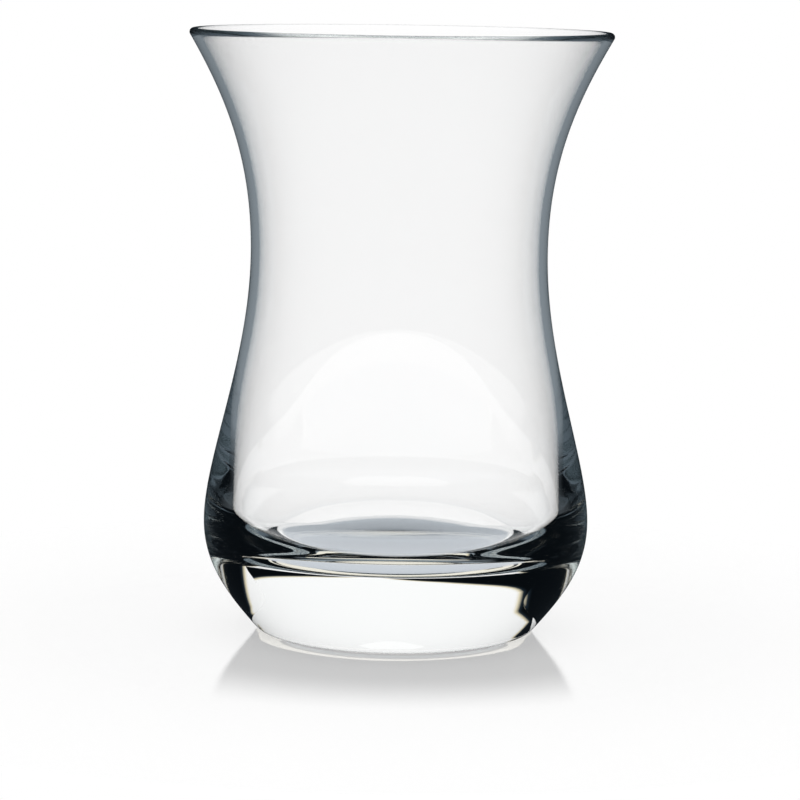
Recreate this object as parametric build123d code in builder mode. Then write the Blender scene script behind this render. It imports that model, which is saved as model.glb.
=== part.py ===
"""A tulip-shaped Turkish tea glass, one piece of pressed clear glass.

The glass stands on the XY plane with its axis on Z, and the origin is the centre of the resting plane.
Half of its section is drawn in the XZ plane, as radius and height, and turned once round the axis.
All sizes are in millimetres, and all diameters are over the outside unless they say otherwise.
"""

import os
from math import cos, radians, sin

from build123d import *

# The stations of the outside: a foot, a full belly, a drawn-in waist and a flared lip.
height = 87.0
foot_diameter = 36.8
belly_diameter = 55.8
belly_height = 16.0
waist_diameter = 42.8
waist_height = 55.2
rim_diameter = 60.8

# The thickness of the glass: a thin lip and waist over a heavy base.
rim_wall = 1.2
waist_wall = 1.2
bowl_wall = 3.6
floor_thickness = 12.0

# The heel is an arc that leaves the resting ring flat and turns up into the side of the belly.
heel_radius = 3.0
heel_turn = 49.0

# The lip leans out from the vertical by this angle, and its edge is melted to a full round.
rim_flare = 30.0

# The floor of the cavity is flat, and turns up into the wall of the bowl with this radius.
floor_corner_radius = 7.0

# The underside is pushed up a little inside the resting ring, so that the glass stands without rocking.
recess_diameter = 31.0
recess_depth = 0.3

# How far each smooth stretch holds its end direction, as a share of the stretch's own rise or run.
heel_ease = 0.41
belly_ease_below = 0.41
belly_ease_above = 0.23
waist_ease_below = 0.40
waist_ease_above = 0.43
rim_ease = 0.30
bowl_ease = 0.45
recess_ease = 0.40

foot_radius = foot_diameter / 2
belly_radius = belly_diameter / 2
waist_radius = waist_diameter / 2
recess_radius = recess_diameter / 2
bowl_radius = belly_radius - bowl_wall
bowl_height = floor_thickness + floor_corner_radius
cavity_waist_radius = waist_radius - waist_wall

# The round of the lip: its middle, and the directions along the wall and across it.
lip_radius = rim_wall / 2
along = Vector(sin(radians(rim_flare)), cos(radians(rim_flare)))
across = Vector(cos(radians(rim_flare)), -sin(radians(rim_flare)))
lip_middle = Vector(rim_diameter / 2 - lip_radius, height - lip_radius)


def side(start, start_way, end, end_way):
    """A smooth stretch of the section that leaves start along start_way and arrives at end along end_way."""
    return Bezier(start, Vector(*start) + Vector(*start_way), Vector(*end) - Vector(*end_way), end)


with BuildPart() as glass:
    with BuildSketch(Plane.XZ):
        with BuildLine():
            # The outside, from the axis under the base up to the lip.
            side(
                (0, recess_depth),
                (recess_ease * recess_radius, 0),
                (recess_radius, 0),
                (recess_ease * recess_radius, 0),
            )
            Line((recess_radius, 0), (foot_radius, 0))
            heel = JernArc((foot_radius, 0), (1, 0), heel_radius, heel_turn)
            heel_top = heel @ 1
            lower_rise = belly_height - heel_top.Y
            side(
                (heel_top.X, heel_top.Y),
                (
                    heel_ease * lower_rise * cos(radians(heel_turn)),
                    heel_ease * lower_rise * sin(radians(heel_turn)),
                ),
                (belly_radius, belly_height),
                (0, belly_ease_below * lower_rise),
            )
            middle_rise = waist_height - belly_height
            side(
                (belly_radius, belly_height),
                (0, belly_ease_above * middle_rise),
                (waist_radius, waist_height),
                (0, waist_ease_below * middle_rise),
            )
            upper_rise = height - waist_height
            lip_outside = lip_middle + across * lip_radius
            side(
                (waist_radius, waist_height),
                (0, waist_ease_above * upper_rise),
                (lip_outside.X, lip_outside.Y),
                (along.X * rim_ease * upper_rise, along.Y * rim_ease * upper_rise),
            )
            # The full round of the lip.
            lip_top = lip_middle + along * lip_radius
            lip_inside = lip_middle - across * lip_radius
            ThreePointArc(lip_outside, lip_top, lip_inside)
            # The cavity, from the lip down to the middle of its floor.
            side(
                (lip_inside.X, lip_inside.Y),
                (-along.X * rim_ease * upper_rise, -along.Y * rim_ease * upper_rise),
                (cavity_waist_radius, waist_height),
                (0, -waist_ease_above * upper_rise),
            )
            cavity_rise = waist_height - bowl_height
            side(
                (cavity_waist_radius, waist_height),
                (0, -waist_ease_below * cavity_rise),
                (bowl_radius, bowl_height),
                (0, -bowl_ease * cavity_rise),
            )
            corner = JernArc((bowl_radius, bowl_height), (0, -1), floor_corner_radius, -90)
            Line(corner @ 1, (0, floor_thickness))
            Line((0, floor_thickness), (0, recess_depth))
        make_face()
    revolve(axis=Axis.Z)

glass.part.label = "glass"
os.makedirs("parts", exist_ok=True)
export_step(glass.part, "parts/glass.step")
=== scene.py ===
"""An empty tulip-shaped Turkish tea glass on a pale glossy table, lit as glass is lit in a studio.

The glass is one turned surface. Half of its section is worked out here from named sizes, as radius and
height, and turned round the Z axis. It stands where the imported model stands, in metres.
"""

import bpy
import numpy as np
from mathutils import Matrix, Vector


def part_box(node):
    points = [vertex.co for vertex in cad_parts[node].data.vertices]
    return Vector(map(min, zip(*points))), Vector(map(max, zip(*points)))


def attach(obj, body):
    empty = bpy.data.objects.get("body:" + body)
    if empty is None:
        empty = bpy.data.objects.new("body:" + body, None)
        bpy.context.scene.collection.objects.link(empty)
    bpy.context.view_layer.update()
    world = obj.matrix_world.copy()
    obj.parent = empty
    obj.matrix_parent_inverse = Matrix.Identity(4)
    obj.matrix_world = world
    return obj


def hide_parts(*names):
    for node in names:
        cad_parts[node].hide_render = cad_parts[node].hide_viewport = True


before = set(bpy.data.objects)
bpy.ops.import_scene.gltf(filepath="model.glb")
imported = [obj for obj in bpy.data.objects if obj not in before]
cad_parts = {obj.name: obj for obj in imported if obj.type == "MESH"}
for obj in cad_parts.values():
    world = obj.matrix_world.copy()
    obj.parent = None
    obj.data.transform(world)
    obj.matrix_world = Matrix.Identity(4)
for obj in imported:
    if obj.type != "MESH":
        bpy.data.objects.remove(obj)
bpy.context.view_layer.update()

MM = 0.001

# ---------------------------------------------------------------- sizes of the glass, in metres
low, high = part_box("glass")
HEIGHT = high.z - low.z
RIM_RADIUS = (high.x - low.x) / 2
FOOT_RADIUS = 18.4 * MM
BELLY_RADIUS = 27.9 * MM
BELLY_HEIGHT = 16.0 * MM
WAIST_RADIUS = 21.4 * MM
WAIST_HEIGHT = 55.2 * MM
RIM_WALL = 1.2 * MM
WAIST_WALL = 1.2 * MM
BOWL_WALL = 3.6 * MM
FLOOR_THICKNESS = 12.0 * MM
HEEL_RADIUS = 3.0 * MM
HEEL_TURN = np.radians(49.0)
RIM_FLARE = np.radians(30.0)
FLOOR_CORNER_RADIUS = 7.0 * MM
RECESS_RADIUS = 15.5 * MM
RECESS_DEPTH = 0.3 * MM

# How far each smooth stretch holds its end direction, as a share of its own rise or run.
HEEL_EASE = 0.41
BELLY_EASE_BELOW = 0.41
BELLY_EASE_ABOVE = 0.23
WAIST_EASE_BELOW = 0.40
WAIST_EASE_ABOVE = 0.43
RIM_EASE = 0.30
BOWL_EASE = 0.45
RECESS_EASE = 0.40

# How finely the surface is drawn: steps round the axis, and points along each stretch of the section. Together they
# keep the piece under 200,000 triangles.
AROUND = 288
RECESS_POINTS = 24
HEEL_POINTS = 18
LOWER_POINTS = 38
MIDDLE_POINTS = 54
UPPER_POINTS = 46
LIP_POINTS = 20
CAVITY_POINTS = 60
CORNER_POINTS = 30
FLOOR_POINTS = 6

# ---------------------------------------------------------------- finish of the glass
GLASS_INDEX = 1.52
GLASS_TINT = "#d5e6e2"
TINT_DENSITY = 2.0
# The base is drawn perfectly smooth, and the bowl above this height very slightly rough. The studio tells light that
# leaves the base from light that leaves the bowl by that.
POLISH_TOP = 15 * MM
POLISH_SOFT = 1 * MM
BOWL_ROUGHNESS = 0.01
# The bowl's roughness changes a little from patch to patch, by this factor over the middle of the noise's range.
PATCH = 4 * MM
PATCH_RANGE = (0.7, 1.2)
NOISE_RANGE = (0.3, 0.7)
# Slow waves in the surface, as a mould leaves them.
WAVE = 7 * MM
WAVE_DEPTH = 0.002 * MM

# ---------------------------------------------------------------- the table
TABLE_RADIUS = 100 * MM
TABLE_DEPTH = 1 * MM
TABLE_GAP = 0.02 * MM
TABLE_AROUND = 96
TABLE_WHITE = 0.40
TABLE_GLOW = 0.61
# The mirror is perfectly smooth, and a relief too fine to see softens its image.
TABLE_GRAIN = 0.05 * MM
TABLE_GRAIN_DEPTH = 0.001 * MM
# The share of the light that the table mirrors near the foot, and where that fades out.
TABLE_MIRROR = 0.36
FADE_FROM = 34 * MM
FADE_TO = 57 * MM
# What light that comes through the glass finds on the table: a grey painted shade under the foot, and, once the
# light has turned more than once inside the glass, a painted dark ring from this bearing in degrees on, at both sides.
# Both are emission colours, not shade that a lamp casts: the grey stands in for the shadow under the foot, and the
# dark ring draws the dark edges of the thick glass.
SHADE_RADIUS = 19 * MM
SHADE_SOFT = 1.5 * MM
SHADE = "#d3d9e0"
DARK_RING_RADIUS = 58 * MM
DARK_RING_SOFT = 6 * MM
DARK_RING_FROM = 62.0

# ---------------------------------------------------------------- the studio, with all angles in degrees
# The window, the dark round it, the room as the glass mirrors it, and what light finds past the bowl after many turns.
WHITE = "#ffffff"
DARK = "#05080b"
ROOM = "#1c2126"
DEEP = "#5a656e"
# How often light was reflected on its way: these lie between no turn and one, one and two, nine and ten, and fourteen
# and fifteen.
TURNED = 0.5
TURNED_TWICE = 1.5
LED_TURNS = 9.5
MANY_TURNS = 14.5
TURNS_SOFT = 0.5
# Half widths of a window: at SHUT it is closed, and at WIDEST it goes all the way round.
SHUT = -10.0
WIDEST = 190.0
# What light finds past the base when it has gone straight through, when it has turned once inside the glass, and when
# it has turned more often. Each is an outline of pairs: a height above the horizon and half the window's width there.
WINDOWS = (
    ((-90, 70), (-60, 70), (-30, 56), (-22, 42), (-14, 26), (-8, 18), (2.5, 16), (3.5, SHUT), (7.0, SHUT), (8.0, 2),
     (9.0, 13), (10, 20), (11, 26), (12, 31), (13, 35), (14, 37), (20, 38), (26, 49), (56, 50), (64, WIDEST),
     (90, WIDEST)),
    ((-90, 70), (-60, 70), (-30, 56), (-22, 42), (-14, 38), (15, 38), (26, 49), (56, 50), (64, WIDEST),
     (90, WIDEST)),
    ((-90, 70), (-60, 70), (-30, 56), (-22, 42), (-18, SHUT), (-3, SHUT), (0, 37), (15, 37), (26, 45), (56, 45),
     (64, SHUT), (90, SHUT)),
)
WINDOW_BEARING = 4.3
WINDOW_SOFT = 5.0
# How bright the window is, and how much of it is left for light that has turned more than once.
WINDOW_LEVEL = 1.09
TRAPPED_LEVEL = 0.85
# The colours that the window's soft edge goes through, from dark to white.
EDGE_TINTS = ((0.30, "#1f2a33"), (0.72, "#e6dcc0"))
# The room at the sides, by bearing: bright past the base from FLANK_FROM on, for light that turned less than twice,
# and dark past the bowl from CORNER_FROM on.
FLANK_FROM = 62.0
CORNER_FROM = 48.0
SIDE_SOFT = 8.0
# The walls that light finds past the bowl once it has turned, as pairs of height above the horizon and colour.
WALL_TINTS = ((-24, DARK), (-14, "#8c969d"), (17, "#8c969d"), (23, DARK))
# What is mirrored perfectly smoothly is plain white above this height.
HORIZON = 1.5
HORIZON_SOFT = 1.0
# Light goes to and fro many times inside the lip and the thick base before it leaves, and is followed that far.
INNER_TURNS = 128
CROSSINGS = 24

# ---------------------------------------------------------------- the camera
CAMERA_DISTANCE = 500 * MM
CAMERA_RISE = np.radians(1.5)
CAMERA_ROLL = np.radians(0.8)
# Blender takes the focal length and the width of the sensor in millimetres.
CAMERA_LENS = 156.5
CAMERA_SENSOR = 36.0
AIM = Vector((0.4 * MM, 0.0, 33.6 * MM))


# ---------------------------------------------------------------- helpers
def linear(hex_colour):
    """An sRGB hex colour as linear RGBA."""
    channels = [int(hex_colour[i : i + 2], 16) / 255 for i in (1, 3, 5)]
    return [c / 12.92 if c <= 0.04045 else ((c + 0.055) / 1.055) ** 2.4 for c in channels] + [1.0]


def add_node(tree, kind, settings=None, **inputs):
    """Adds a node, sets its properties and its inputs. An input is a value or another node's output socket."""
    node = tree.nodes.new(kind)
    for name, value in (settings or {}).items():
        setattr(node, name, value)
    for name, value in inputs.items():
        socket = node.inputs[int(name[1:]) if name[1:].isdigit() else name.replace("_", " ")]
        if isinstance(value, bpy.types.NodeSocket):
            tree.links.new(value, socket)
        else:
            socket.default_value = value
    return node


def step(tree, value, middle, soft):
    """0 below the middle and 1 above it, with a smooth change as wide as soft. A negative soft turns it round."""
    change = add_node(tree, "ShaderNodeMapRange", {"interpolation_type": "SMOOTHSTEP"}, Value=value,
                      From_Min=middle - abs(soft) / 2, From_Max=middle + abs(soft) / 2,
                      To_Min=float(soft < 0), To_Max=float(soft > 0))
    return change.outputs[0]


def blend(tree, share, first, second):
    """A number that goes from first to second as share goes from 0 to 1."""
    return add_node(tree, "ShaderNodeMix", None, _0=share, _2=first, _3=second).outputs[0]


# ---------------------------------------------------------------- the section of the glass
def stretch(start, start_way, end, end_way, steps):
    """A cubic Bezier curve: it leaves start along start_way and arrives at end along end_way."""
    t = np.linspace(0.0, 1.0, steps)[:, None]
    a, d = np.array(start), np.array(end)
    b, c = a + start_way, d - end_way
    return (1 - t) ** 3 * a + 3 * (1 - t) ** 2 * t * b + 3 * (1 - t) * t**2 * c + t**3 * d


def arc(centre, radius, start, stop, steps):
    """Points at the given radius round a centre, from one angle to another, counted from the radius axis."""
    turn = np.linspace(start, stop, steps)
    return np.array(centre) + radius * np.stack([np.cos(turn), np.sin(turn)], axis=1)


def glass_section():
    """The closed half section as (radius, height) rows, from the axis under the base, up the outside, over the
    lip, down the cavity and back to the axis on the floor."""
    recess_way = (RECESS_EASE * RECESS_RADIUS, 0.0)
    recess = stretch((0.0, RECESS_DEPTH), recess_way, (RECESS_RADIUS, 0.0), recess_way, RECESS_POINTS)
    heel = arc((FOOT_RADIUS, HEEL_RADIUS), HEEL_RADIUS, -np.pi / 2, HEEL_TURN - np.pi / 2, HEEL_POINTS)
    lower = BELLY_HEIGHT - heel[-1, 1]
    middle = WAIST_HEIGHT - BELLY_HEIGHT
    upper = HEIGHT - WAIST_HEIGHT
    heel_way = HEEL_EASE * lower * np.array([np.cos(HEEL_TURN), np.sin(HEEL_TURN)])
    along = np.array([np.sin(RIM_FLARE), np.cos(RIM_FLARE)])
    across = np.array([np.cos(RIM_FLARE), -np.sin(RIM_FLARE)])
    lip = RIM_WALL / 2
    lip_middle = np.array([RIM_RADIUS - lip, HEIGHT - lip])
    belly = (BELLY_RADIUS, BELLY_HEIGHT)
    waist = (WAIST_RADIUS, WAIST_HEIGHT)
    lip_outside, lip_inside = lip_middle + across * lip, lip_middle - across * lip
    rim_way = along * RIM_EASE * upper
    waist_way = np.array([0.0, WAIST_EASE_ABOVE * upper])
    outside = [
        stretch(heel[-1], heel_way, belly, (0.0, BELLY_EASE_BELOW * lower), LOWER_POINTS),
        stretch(belly, (0.0, BELLY_EASE_ABOVE * middle), waist, (0.0, WAIST_EASE_BELOW * middle), MIDDLE_POINTS),
        stretch(waist, waist_way, lip_outside, rim_way, UPPER_POINTS),
    ]
    lip_round = arc(lip_middle, lip, -RIM_FLARE, np.pi - RIM_FLARE, LIP_POINTS)
    corner_middle = (BELLY_RADIUS - BOWL_WALL - FLOOR_CORNER_RADIUS, FLOOR_THICKNESS + FLOOR_CORNER_RADIUS)
    corner = arc(corner_middle, FLOOR_CORNER_RADIUS, 0.0, -np.pi / 2, CORNER_POINTS)
    neck = (WAIST_RADIUS - WAIST_WALL, WAIST_HEIGHT)
    rise = WAIST_HEIGHT - corner[0, 1]
    inside = [
        stretch(lip_inside, -rim_way, neck, -waist_way, UPPER_POINTS),
        stretch(neck, (0.0, -WAIST_EASE_BELOW * rise), corner[0], (0.0, -BOWL_EASE * rise), CAVITY_POINTS),
        corner,
        np.linspace(corner[-1], (0.0, FLOOR_THICKNESS), FLOOR_POINTS),
    ]
    runs = [recess, heel, *outside, lip_round, *inside]
    joined = [run[1:] if np.allclose(run[0], last[-1]) else run for last, run in zip(runs, runs[1:])]
    return np.concatenate([recess, *joined])


def turned_mesh(name, section, around):
    """A surface of revolution: point (i, j) is section point i turned by j/around of a circle. The section's two
    ends lie on the axis and become one vertex each, so both poles are closed by fans of triangles."""
    rings = section[1:-1]
    turn = np.linspace(0.0, 2 * np.pi, around, endpoint=False)
    x = rings[:, :1] * np.cos(turn)
    y = rings[:, :1] * np.sin(turn)
    z = np.repeat(rings[:, 1:], around, axis=1)
    grid = np.stack([x, y, z], axis=2).reshape(-1, 3)
    ends = np.array([[0.0, 0.0, section[0, 1]], [0.0, 0.0, section[-1, 1]]])
    vertices = np.concatenate([grid, ends])
    i, j = np.meshgrid(np.arange(len(rings) - 1), np.arange(around), indexing="ij")
    here, after = i * around + j, i * around + (j + 1) % around
    quads = np.stack([here, after, after + around, here + around], axis=2).reshape(-1, 4)
    k = np.arange(around)
    last = (len(rings) - 1) * around
    first_fan = np.stack([np.full(around, len(grid)), (k + 1) % around, k], axis=1)
    last_fan = np.stack([np.full(around, len(grid) + 1), last + k, last + (k + 1) % around], axis=1)
    mesh = bpy.data.meshes.new(name)
    mesh.from_pydata(vertices.tolist(), [], quads.tolist() + first_fan.tolist() + last_fan.tolist())
    mesh.polygons.foreach_set("use_smooth", np.ones(len(mesh.polygons), dtype=bool))
    mesh.update()
    return mesh


# ---------------------------------------------------------------- materials
def pressed_soda_lime_glass():
    """Colourless soda-lime glass, pressed in a polished mould and fire-polished at the lip: clear and mirror
    smooth, with a very slight unevenness left by the mould and a faint cool tint where it is thick."""
    material = bpy.data.materials.new("pressed_soda_lime_glass")
    material.use_nodes = True
    tree = material.node_tree
    tree.nodes.clear()
    shader = add_node(tree, "ShaderNodeBsdfPrincipled")
    shader.inputs["Base Color"].default_value = linear(WHITE)
    shader.inputs["Transmission Weight"].default_value = 1.0
    shader.inputs["IOR"].default_value = GLASS_INDEX
    place = add_node(tree, "ShaderNodeTexCoord")
    axes = add_node(tree, "ShaderNodeSeparateXYZ", None, Vector=place.outputs["Object"])
    polish = add_node(tree, "ShaderNodeMapRange", None, Value=axes.outputs["Z"],
                      From_Min=POLISH_TOP - POLISH_SOFT / 2, From_Max=POLISH_TOP + POLISH_SOFT / 2, To_Min=0.0,
                      To_Max=BOWL_ROUGHNESS)
    patches = add_node(tree, "ShaderNodeTexNoise", None, Vector=place.outputs["Object"], Scale=1 / PATCH, Detail=2.0)
    uneven = add_node(tree, "ShaderNodeMapRange", None, Value=patches.outputs[0], From_Min=NOISE_RANGE[0],
                      From_Max=NOISE_RANGE[1], To_Min=PATCH_RANGE[0], To_Max=PATCH_RANGE[1])
    matt = add_node(tree, "ShaderNodeMath", {"operation": "MULTIPLY"}, _0=polish.outputs[0], _1=uneven.outputs[0])
    tree.links.new(matt.outputs[0], shader.inputs["Roughness"])
    waves = add_node(tree, "ShaderNodeTexNoise", None, Vector=place.outputs["Object"], Scale=1 / WAVE, Detail=0.0)
    relief = add_node(tree, "ShaderNodeBump", None, Height=waves.outputs[0], Distance=WAVE_DEPTH)
    tree.links.new(relief.outputs[0], shader.inputs["Normal"])
    depth = add_node(tree, "ShaderNodeVolumeAbsorption")
    depth.inputs["Color"].default_value = linear(GLASS_TINT)
    depth.inputs["Density"].default_value = TINT_DENSITY
    out = add_node(tree, "ShaderNodeOutputMaterial")
    tree.links.new(shader.outputs["BSDF"], out.inputs["Surface"])
    tree.links.new(depth.outputs["Volume"], out.inputs["Volume"])
    return material


def table_material():
    """White acrylic sheet, cast and polished: an even white that mirrors what stands on it softly. Light that has
    passed through the glass finds the painted shade under the foot and the painted dark ring, both emission colours,
    and elsewhere goes on to the studio, as light that the glass mirrors does everywhere."""
    material = bpy.data.materials.new("polished_white_acrylic")
    material.use_nodes = True
    tree = material.node_tree
    tree.nodes.clear()
    matt = add_node(tree, "ShaderNodeBsdfDiffuse", None, Color=[TABLE_WHITE] * 3 + [1.0])
    glow = add_node(tree, "ShaderNodeEmission", None, Color=linear(WHITE), Strength=TABLE_GLOW)
    body = add_node(tree, "ShaderNodeAddShader", None, _0=matt.outputs[0], _1=glow.outputs[0])
    place = add_node(tree, "ShaderNodeTexCoord")
    radius = add_node(tree, "ShaderNodeVectorMath", {"operation": "LENGTH"}, _0=place.outputs["Object"])
    grain = add_node(tree, "ShaderNodeTexNoise", None, Vector=place.outputs["Object"], Scale=1 / TABLE_GRAIN,
                     Detail=0.0)
    relief = add_node(tree, "ShaderNodeBump", None, Height=grain.outputs[0], Distance=TABLE_GRAIN_DEPTH)
    mirror = add_node(tree, "ShaderNodeBsdfAnisotropic", None, Color=linear(WHITE), Roughness=0.0,
                      Normal=relief.outputs[0])
    share = add_node(tree, "ShaderNodeMapRange", {"interpolation_type": "SMOOTHSTEP"}, Value=radius.outputs["Value"],
                     From_Min=FADE_FROM, From_Max=FADE_TO, To_Min=TABLE_MIRROR, To_Max=0.0)
    face = add_node(tree, "ShaderNodeMixShader", None, _0=share.outputs[0], _1=body.outputs[0], _2=mirror.outputs[0])
    axes = add_node(tree, "ShaderNodeSeparateXYZ", None, Vector=place.outputs["Object"])
    bearing = add_node(tree, "ShaderNodeMath", {"operation": "ARCTAN2"}, _0=axes.outputs["X"], _1=axes.outputs["Y"])
    aside = add_node(tree, "ShaderNodeMath", {"operation": "ABSOLUTE"}, _0=bearing.outputs[0])
    foot = step(tree, radius.outputs["Value"], SHADE_RADIUS, -SHADE_SOFT)
    ring = step(tree, radius.outputs["Value"], DARK_RING_RADIUS, DARK_RING_SOFT)
    flank = step(tree, aside.outputs[0], np.radians(DARK_RING_FROM), np.radians(SIDE_SOFT))
    light = add_node(tree, "ShaderNodeLightPath")
    inner = step(tree, light.outputs["Glossy Depth"], TURNED_TWICE, TURNS_SOFT)
    outer = add_node(tree, "ShaderNodeMath", {"operation": "MULTIPLY"}, _0=ring, _1=flank)
    painted_dark_ring = add_node(tree, "ShaderNodeMath", {"operation": "MULTIPLY"}, _0=outer.outputs[0], _1=inner)
    open_way = add_node(tree, "ShaderNodeBsdfTransparent")
    # Painted shade: a black emission for the dark ring and a grey one under the foot, seen only by light through the
    # glass.
    black = add_node(tree, "ShaderNodeEmission", None, Color=linear(DARK), Strength=1.0)
    grey = add_node(tree, "ShaderNodeEmission", None, Color=linear(SHADE), Strength=1.0)
    ringed = add_node(tree, "ShaderNodeMixShader", None, _0=painted_dark_ring.outputs[0], _1=open_way.outputs[0],
                      _2=black.outputs[0])
    under = add_node(tree, "ShaderNodeMixShader", None, _0=foot, _1=ringed.outputs[0], _2=grey.outputs[0])
    first = add_node(tree, "ShaderNodeMixShader", None, _0=light.outputs["Is Transmission Ray"],
                     _1=face.outputs[0], _2=under.outputs[0])
    whole = add_node(tree, "ShaderNodeMixShader", None, _0=light.outputs["Is Reflection Ray"],
                     _1=first.outputs[0], _2=open_way.outputs[0])
    out = add_node(tree, "ShaderNodeOutputMaterial")
    tree.links.new(whole.outputs[0], out.inputs["Surface"])
    return material


# ---------------------------------------------------------------- pieces
glass = bpy.data.objects.new("tea_glass", turned_mesh("tea_glass", glass_section(), AROUND))
bpy.context.scene.collection.objects.link(glass)
glass.data.materials.append(pressed_soda_lime_glass())
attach(glass, "root")
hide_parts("glass")


# ---------------------------------------------------------------- table
def table_top():
    """A flat disc: its half section is a thin rectangle from the axis to the rim, turned round the axis. Its top is
    a hair under the foot, so that the two faces never coincide."""
    top = -TABLE_GAP
    section = np.array([[0.0, top - TABLE_DEPTH], [TABLE_RADIUS, top - TABLE_DEPTH], [TABLE_RADIUS, top], [0.0, top]])
    return turned_mesh("table_top", section, TABLE_AROUND)


table = bpy.data.objects.new("table_top", table_top())
bpy.context.scene.collection.objects.link(table)
table.data.polygons.foreach_set("use_smooth", np.zeros(len(table.data.polygons), dtype=bool))
table.data.materials.append(table_material())


# ---------------------------------------------------------------- the studio round the glass
def window(tree, bearing, height, outline):
    """1 inside a bright window of the studio and 0 outside. The window lies behind the glass, a little to the right
    of the axis seen from the front, and its outline gives half its width in degrees at each height above the horizon.
    A colour ramp holds the outline: it writes a half width from SHUT to WIDEST as a grey from 0 to 1."""
    place = add_node(tree, "ShaderNodeMapRange", None, Value=height, From_Min=-np.pi / 2, From_Max=np.pi / 2)
    ramp = add_node(tree, "ShaderNodeValToRGB", None, Fac=place.outputs[0])
    stops = ramp.color_ramp.elements
    ends = {-90.0: stops[0], 90.0: stops[1]}
    for rise, half_width in outline:
        stop = ends.get(rise) or stops.new((rise + 90.0) / 180.0)
        stop.color = [(half_width - SHUT) / (WIDEST - SHUT)] * 3 + [1.0]
    reach = add_node(tree, "ShaderNodeMapRange", {"clamp": False}, Value=ramp.outputs["Color"],
                     To_Min=np.radians(SHUT), To_Max=np.radians(WIDEST))
    off = add_node(tree, "ShaderNodeMath", {"operation": "SUBTRACT"}, _0=bearing, _1=np.radians(WINDOW_BEARING))
    distance = add_node(tree, "ShaderNodeMath", {"operation": "ABSOLUTE"}, _0=off.outputs[0])
    inside = add_node(tree, "ShaderNodeMath", {"operation": "SUBTRACT"}, _0=reach.outputs[0], _1=distance.outputs[0])
    return step(tree, inside.outputs[0], 0.0, np.radians(WINDOW_SOFT))


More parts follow.
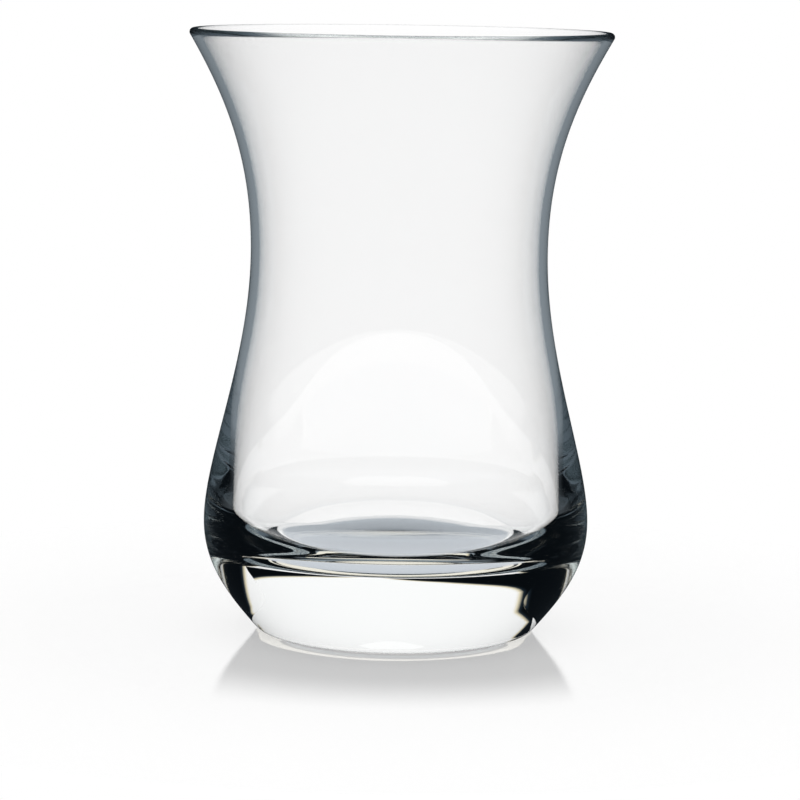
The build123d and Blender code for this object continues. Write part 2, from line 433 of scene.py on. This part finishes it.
def studio_world():
    """A bright window in a dark room. To the camera and to matt surfaces the room is plain white. Light that has
    passed through the glass finds the window, the grey walls or the dark, by its direction and by how often it has
    turned inside the glass, and so the thick parts of the glass are drawn in black and white. No real room tells
    light apart by its turns: that part is a rule made for the look."""
    world = bpy.data.worlds.new("studio")
    bpy.context.scene.world = world
    world.use_nodes = True
    tree = world.node_tree
    tree.nodes.clear()
    way = add_node(tree, "ShaderNodeTexCoord")
    axes = add_node(tree, "ShaderNodeSeparateXYZ", None, Vector=way.outputs["Generated"])
    bearing = add_node(tree, "ShaderNodeMath", {"operation": "ARCTAN2"}, _0=axes.outputs["X"], _1=axes.outputs["Y"])
    aside = add_node(tree, "ShaderNodeMath", {"operation": "ABSOLUTE"}, _0=bearing.outputs[0]).outputs[0]
    height = add_node(tree, "ShaderNodeMath", {"operation": "ARCSINE"}, _0=axes.outputs["Z"]).outputs[0]
    light = add_node(tree, "ShaderNodeLightPath")
    turns = light.outputs["Glossy Depth"]
    once, twice, led, often = (step(tree, turns, count, TURNS_SOFT)
                               for count in (TURNED, TURNED_TWICE, LED_TURNS, MANY_TURNS))

    # Through the base: the window behind the glass, then the bright room on both sides of it.
    straight, turned, trapped = (window(tree, bearing.outputs[0], height, outline) for outline in WINDOWS)
    flank = step(tree, aside, np.radians(FLANK_FROM), np.radians(WINDOW_SOFT))
    early = blend(tree, once, straight, turned)
    early = add_node(tree, "ShaderNodeMath", {"operation": "MAXIMUM"}, _0=early, _1=flank).outputs[0]
    late = add_node(tree, "ShaderNodeMath", {"operation": "MULTIPLY"}, _0=trapped, _1=TRAPPED_LEVEL).outputs[0]
    lit = blend(tree, often, blend(tree, twice, early, late), 1.0)
    pane = add_node(tree, "ShaderNodeValToRGB", None, Fac=lit)
    stops = pane.color_ramp.elements
    stops[0].color = linear(DARK)
    stops[1].color = linear(WHITE)
    for place, colour in EDGE_TINTS:
        stops.new(place).color = linear(colour)
    base = add_node(tree, "ShaderNodeBackground", None, Color=pane.outputs["Color"], Strength=WINDOW_LEVEL)

    # Through the bowl: the bright room straight on, and its cool grey walls once the light has turned in the glass.
    bright = add_node(tree, "ShaderNodeBackground", None, Color=linear(WHITE), Strength=WINDOW_LEVEL)
    rise = add_node(tree, "ShaderNodeMapRange", None, Value=height, From_Min=-np.pi / 2, From_Max=np.pi / 2)
    wall = add_node(tree, "ShaderNodeValToRGB", None, Fac=rise.outputs[0])
    stops = wall.color_ramp.elements
    stops[0].color = stops[1].color = linear(DARK)
    for angle, colour in WALL_TINTS:
        stops.new((angle + 90.0) / 180.0).color = linear(colour)
    walls = add_node(tree, "ShaderNodeBackground", None, Color=wall.outputs["Color"], Strength=1.0)
    black = add_node(tree, "ShaderNodeBackground", None, Color=linear(DARK), Strength=1.0)
    deep = add_node(tree, "ShaderNodeBackground", None, Color=linear(DEEP), Strength=1.0)
    corner = step(tree, aside, np.radians(CORNER_FROM), np.radians(SIDE_SOFT))
    sides = add_node(tree, "ShaderNodeMixShader", None, _0=corner, _1=walls.outputs[0], _2=black.outputs[0])
    guided = add_node(tree, "ShaderNodeMixShader", None, _0=led, _1=sides.outputs[0], _2=deep.outputs[0])
    bowl = add_node(tree, "ShaderNodeMixShader", None, _0=once, _1=bright.outputs[0], _2=guided.outputs[0])

    # Mirrored: plain white above the horizon in the table and the smooth base, and otherwise the dark room.
    plain = add_node(tree, "ShaderNodeBackground", None, Color=linear(WHITE), Strength=1.0)
    dark = add_node(tree, "ShaderNodeBackground", None, Color=linear(ROOM), Strength=1.0)
    above = step(tree, height, np.radians(HORIZON), np.radians(HORIZON_SOFT))
    bounced = add_node(tree, "ShaderNodeMath", {"operation": "MULTIPLY"}, _0=above,
                       _1=light.outputs["Is Singular Ray"])
    mirrored = add_node(tree, "ShaderNodeMixShader", None, _0=bounced.outputs[0], _1=dark.outputs[0],
                        _2=plain.outputs[0])

    passed = add_node(tree, "ShaderNodeMixShader", None, _0=light.outputs["Is Singular Ray"],
                      _1=bowl.outputs[0], _2=base.outputs[0])
    met = add_node(tree, "ShaderNodeMixShader", None, _0=light.outputs["Is Transmission Ray"],
                   _1=mirrored.outputs[0], _2=passed.outputs[0])
    whole = add_node(tree, "ShaderNodeMixShader", None, _0=light.outputs["Is Glossy Ray"],
                     _1=plain.outputs[0], _2=met.outputs[0])
    out = add_node(tree, "ShaderNodeOutputWorld")
    tree.links.new(whole.outputs[0], out.inputs["Surface"])


studio_world()
cycles = bpy.context.scene.cycles
cycles.max_bounces = INNER_TURNS
cycles.glossy_bounces = INNER_TURNS
cycles.transmission_bounces = CROSSINGS

# ---------------------------------------------------------------- camera
lens = bpy.data.cameras.new("camera")
lens.lens = CAMERA_LENS
lens.sensor_width = CAMERA_SENSOR
camera = bpy.data.objects.new("camera", lens)
camera.location = (AIM.x, -CAMERA_DISTANCE, HEIGHT + CAMERA_DISTANCE * np.tan(CAMERA_RISE))
look = (AIM - camera.location).to_track_quat("-Z", "Y")
camera.rotation_mode = "QUATERNION"
camera.rotation_quaternion = look @ Matrix.Rotation(CAMERA_ROLL, 4, "Z").to_quaternion()
bpy.context.scene.collection.objects.link(camera)
bpy.context.scene.camera = camera
bpy.context.scene.view_settings.view_transform = "Standard"
